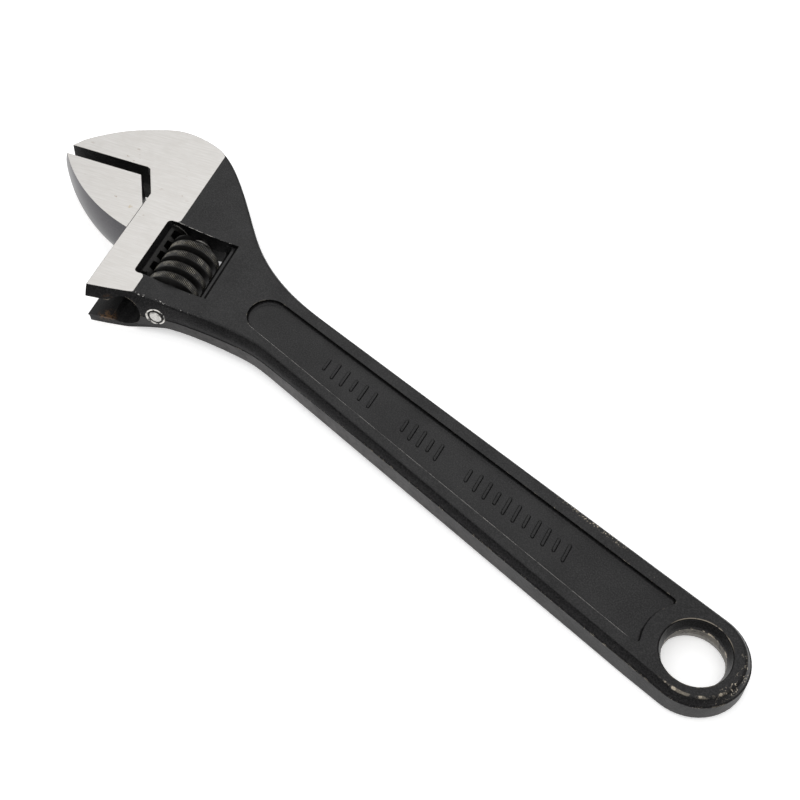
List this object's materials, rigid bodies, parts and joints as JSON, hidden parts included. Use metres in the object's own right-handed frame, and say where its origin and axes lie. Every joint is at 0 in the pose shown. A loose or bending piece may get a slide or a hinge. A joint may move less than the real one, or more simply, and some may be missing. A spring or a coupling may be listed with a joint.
{
  "type": "adjustable wrench",
  "caption": "Long adjustable wrench: angled head with a fixed jaw and a sliding jaw moved by a thumb worm, flat handle with sunk panels and a hanging hole.",
  "frame": {"origin": "centre of the hanging hole, on the mid-plane of the wrench", "axes": "+X along the handle towards the jaws, +Y towards the side the moving jaw opens to, +Z along the hanging hole's axis, out of the upper face"},
  "size_m": [0.3784, 0.0979, 0.0226],
  "materials": {
    "black_steel": "satin",
    "jaw_steel": "satin",
    "worm_steel": "satin",
    "pin_steel": "satin",
    "spring_steel": "satin"
  },
  "bodies": {
    "frame": {"body": "black_steel", "worm_pin": "pin_steel", "spring": "spring_steel"},
    "jaw": {"movable_jaw": "jaw_steel"},
    "worm_screw": {"worm": "worm_steel"}
  },
  "joints": [
    {"name": "worm_spin", "type": "hinge", "parent": "frame", "child": "worm_screw", "pos_m": [0.2698, 0.0041, 0], "axis": [0.3827, -0.9239, 0], "range_deg": [-303.3, 1946.6]},
    {"name": "jaw_slide", "type": "slide", "parent": "frame", "child": "jaw", "axis": [-0.3827, 0.9239, 0], "range_m": [-0.0055, 0.0354]}
  ],
  "couplings": [
    {"joint": "worm_spin", "follows": "jaw_slide", "rad_per_m": 959.26}
  ]
}
